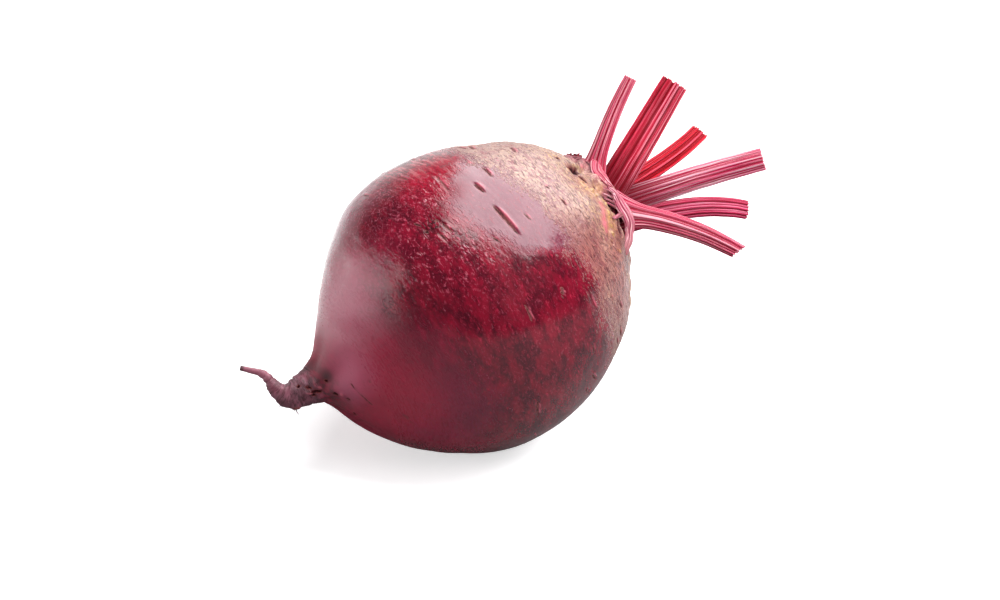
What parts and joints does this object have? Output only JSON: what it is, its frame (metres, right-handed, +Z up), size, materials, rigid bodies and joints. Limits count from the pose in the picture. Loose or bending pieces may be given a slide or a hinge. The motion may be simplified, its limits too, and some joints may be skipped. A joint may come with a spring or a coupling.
{
  "type": "beetroot",
  "caption": "Round beetroot lying on its side, with a thin curved tap root and a fan of ribbed leaf stalks cut short above the crown.",
  "frame": {"origin": "on the surface that the beet lies on, in the middle of the small flat spot under its belly", "axes": "+Z up, +X from the tap root to the stalks over the ground, +Y to the far side as seen from the picture's camera"},
  "size_m": [0.1477, 0.0789, 0.0909],
  "materials": {
    "skin": "satin purple-red skin, corky and tan towards the crown",
    "stalk": "satin, ribbed lengthways in pink and crimson",
    "stub": "dull dark red, dried at the cut"
  },
  "bodies": {
    "root": {"root": "skin", "stalk_upper": "stalk", "stalk_broad": "stalk", "stalk_far": "stalk", "stalk_middle": "stalk", "stalk_low": "stalk", "stalk_front": "stalk", "stub_rim": "stub", "stub_back": "stub", "stub_low": "stub"}
  },
  "joints": []
}
